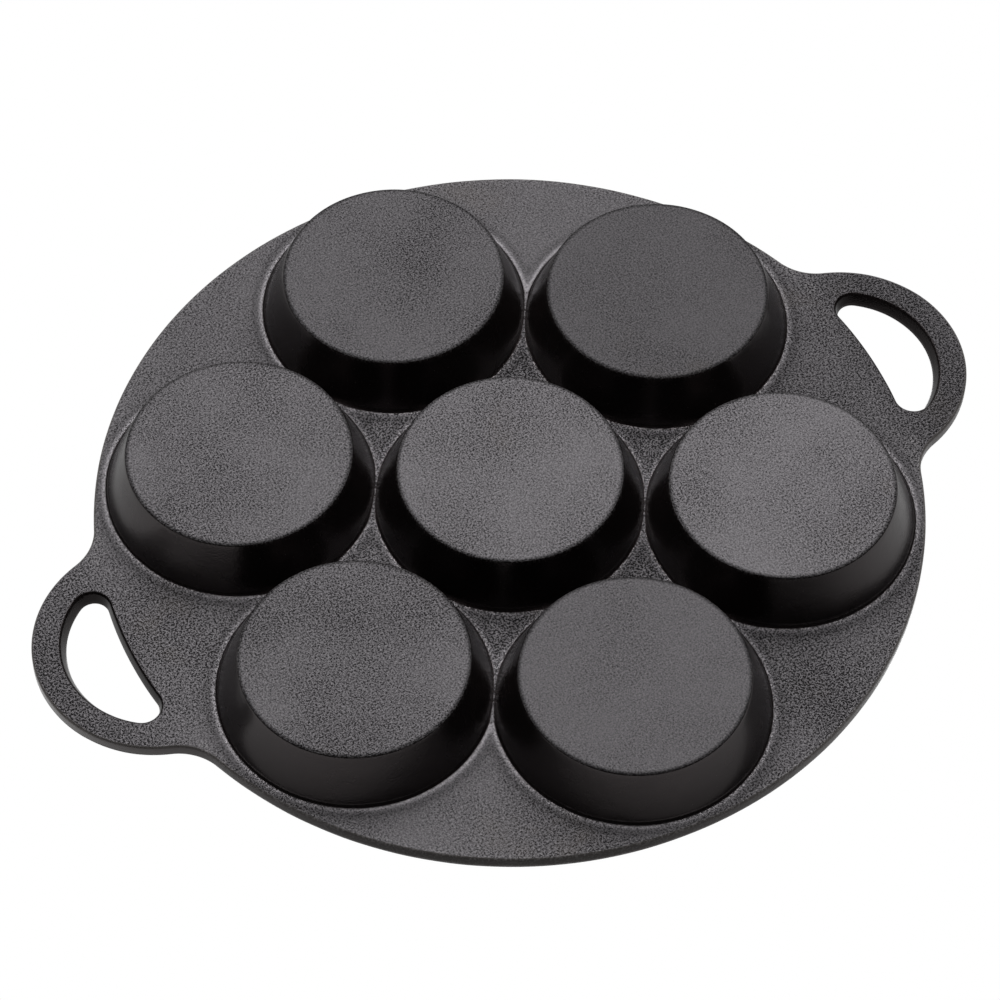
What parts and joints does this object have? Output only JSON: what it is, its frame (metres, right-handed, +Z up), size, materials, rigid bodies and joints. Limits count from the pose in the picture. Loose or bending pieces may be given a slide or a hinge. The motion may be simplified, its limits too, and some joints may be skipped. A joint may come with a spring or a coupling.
{
  "type": "aebleskiver pan",
  "caption": "Round cast-iron stovetop pan with a ring of shallow flat-bottomed cups round a centre cup and a loop handle at each side.",
  "frame": {"origin": "centre of the pan at the surface it stands on, midway between the handles: the middle of the centre cup's flat bottom", "axes": "+Z up, as the pan stands on a stove with its cup mouths upward; X along the line through both handles, +X towards handle_right; the pan is the same after a half turn about Z"},
  "size_m": [0.3346, 0.2744, 0.0236],
  "materials": {
    "plate_iron": "sand-cast face, seasoned, dull grey-black",
    "cup_iron": "finer sand-cast face, seasoned, smoother on the cup walls"
  },
  "bodies": {
    "root": {"griddle_plate": "plate_iron", "cup_centre": "cup_iron", "cup_1": "cup_iron", "cup_2": "cup_iron", "cup_3": "cup_iron", "cup_4": "cup_iron", "cup_5": "cup_iron", "cup_6": "cup_iron", "handle_right": "plate_iron", "handle_left": "plate_iron"}
  },
  "joints": []
}
